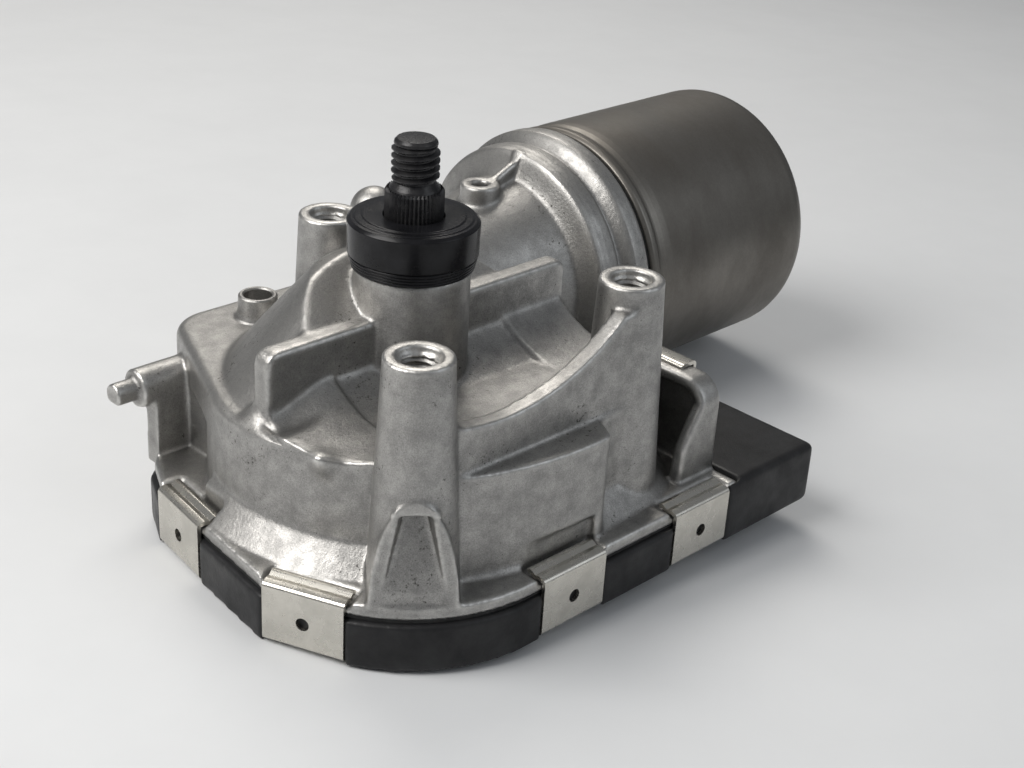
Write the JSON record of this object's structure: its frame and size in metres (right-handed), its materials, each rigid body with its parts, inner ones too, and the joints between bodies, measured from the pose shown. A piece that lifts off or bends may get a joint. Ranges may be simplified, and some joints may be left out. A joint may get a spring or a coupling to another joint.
{
  "type": "windscreen wiper motor",
  "caption": "Geared wiper motor: cast worm gearbox with screw posts and a knurled, threaded output shaft, steel motor can, clipped black cover with a side connector.",
  "frame": {"origin": "output shaft axis at the cover's outer face", "axes": "+Z along the output shaft towards its threaded end, +X along the motor axis towards the can"},
  "size_m": [0.1693, 0.1031, 0.0769],
  "materials": {
    "cast_aluminium": "as cast, bead blasted",
    "can_steel": "satin, passivated",
    "clip_steel": "bright spring steel",
    "black_steel": "blackened",
    "cap_plastic": "semi gloss",
    "cover_plastic": "fine grain",
    "wheel_plastic": "moulded",
    "bright_steel": "ground",
    "core_steel": "laminated",
    "copper": "copper",
    "sintered_bronze": "sintered",
    "carrier_plastic": "moulded",
    "carbon": "carbon",
    "spring_steel": "wire",
    "ferrite": "ferrite",
    "seal_rubber": "moulded",
    "board": "laminate",
    "device_black": "moulded",
    "terminal_brass": "tinned"
  },
  "bodies": {
    "housing": {"gear_housing": "cast_aluminium", "motor_can": "can_steel", "shaft_cap": "cap_plastic", "housing_cover": "cover_plastic", "cover_clips": "clip_steel", "wall_clip": "clip_steel", "brush_plate": "carrier_plastic", "carbon_brushes": "carbon", "brush_springs": "spring_steel", "chokes": "copper", "magnets": "ferrite", "front_bearing": "bright_steel", "rear_bearing": "sintered_bronze", "bearing_retainer": "bright_steel", "worm_bush": "sintered_bronze", "thrust_button": "bright_steel", "lower_bush": "sintered_bronze", "upper_bush": "sintered_bronze", "shaft_seal": "seal_rubber", "cover_gasket": "seal_rubber", "circuit_board": "board", "board_components": "device_black", "connector_terminals": "terminal_brass"},
    "output": {"output_shaft": "black_steel", "worm_wheel": "wheel_plastic", "thrust_washer": "bright_steel", "retaining_ring": "bright_steel", "sensor_magnet": "ferrite"},
    "armature": {"armature_shaft": "bright_steel", "armature_core": "core_steel", "windings": "copper", "commutator": "copper"}
  },
  "joints": [
    {"name": "armature_spin", "type": "hinge", "parent": "housing", "child": "armature", "pos_m": [0, 0.033, 0.0226], "axis": [1, 0, 0], "continuous": true},
    {"name": "output_turn", "type": "hinge", "parent": "housing", "child": "output", "pos_m": [0, 0, 0], "axis": [0, 0, 1], "continuous": true}
  ],
  "couplings": [
    {"joint": "output_turn", "follows": "armature_spin", "ratio": 0.017241}
  ]
}
